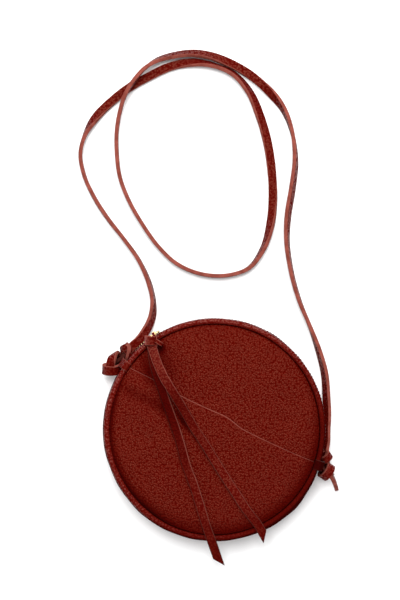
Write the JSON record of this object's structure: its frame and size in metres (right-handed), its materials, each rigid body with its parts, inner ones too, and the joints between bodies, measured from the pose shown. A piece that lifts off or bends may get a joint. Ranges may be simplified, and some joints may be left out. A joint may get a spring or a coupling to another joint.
{
  "type": "round shoulder bag",
  "caption": "Round leather shoulder bag with a slip pocket, a zip round its upper rim, a leather lace pull and a long knotted lace strap.",
  "frame": {"origin": "centre of the flat back face, on the plane that the bag lies on", "axes": "+Z out of the front of the bag, +Y towards the strap, +X to the right seen from the front"},
  "size_m": [0.2435, 0.4709, 0.0505],
  "materials": {
    "leather": "oxblood, fine pebble grain, pale raw edges",
    "lining": "plain cotton",
    "welt_cord": "twisted cotton filler cord",
    "zip_tape": "woven tape",
    "brass": "bright, lightly worn"
  },
  "bodies": {
    "bag": {"back_panel": "leather", "back_lining": "lining", "back_welt": "leather", "back_welt_cord": "welt_cord", "lower_gusset": "leather", "gusset_lining": "lining", "front_panel_lower": "leather", "front_lining_lower": "lining", "pocket_panel": "leather", "front_welt_lower": "leather", "front_welt_cord_lower": "welt_cord", "zip_strip_back": "leather", "zip_tape_back": "zip_tape", "zip_teeth_back": "brass", "zip_stop_right": "brass", "zip_stop_left_back": "brass", "strap_loop_left": "leather", "strap_loop_right": "leather", "strap": "leather", "strap_knot_left": "leather", "strap_knot_right": "leather", "strap_end_right": "leather"},
    "flap": {"front_panel_upper": "leather", "front_lining_upper": "lining", "front_welt_upper": "leather", "front_welt_cord_upper": "welt_cord", "zip_strip_front": "leather", "zip_tape_front": "zip_tape", "zip_teeth_front": "brass", "zip_stop_left_front": "brass"},
    "slider": {"zip_slider": "brass", "zip_bail": "brass"},
    "link": {"pull_link": "brass"},
    "hitch": {"pull_hitch": "leather"},
    "tails": {"pull_tail_left": "leather", "pull_tail_right": "leather"}
  },
  "joints": [
    {"name": "flap_open", "type": "hinge", "parent": "bag", "child": "flap", "pos_m": [0.01193, 0.02341, 0.0442], "axis": [0.891, -0.454, 0], "range_deg": [0, 40]},
    {"name": "slider_travel", "type": "hinge", "parent": "flap", "child": "slider", "pos_m": [0, 0, 0.021], "axis": [0, 0, 1], "range_deg": [-126, 0], "deforming": ["zip_teeth_front", "zip_teeth_back", "zip_tape_back"]},
    {"name": "link_swing", "type": "hinge", "parent": "slider", "child": "link", "pos_m": [-0.05543, 0.08701, 0.021], "axis": [-0.8434, -0.5373, 0], "range_deg": [0, 95]},
    {"name": "pull_turn", "type": "hinge", "parent": "link", "child": "hitch", "pos_m": [-0.05534, 0.08687, 0.04608], "axis": [-0.8434, -0.5373, 0], "range_deg": [0, 150]},
    {"name": "tails_lift", "type": "hinge", "parent": "hitch", "child": "tails", "pos_m": [-0.05051, 0.07928, 0.046], "axis": [-0.8434, -0.5373, 0], "range_deg": [0, 40], "deforming": ["pull_tail_left", "pull_tail_right"]}
  ],
  "couplings": [
    {"joint": "flap_open", "follows": "slider_travel", "ratio": -0.31}
  ]
}
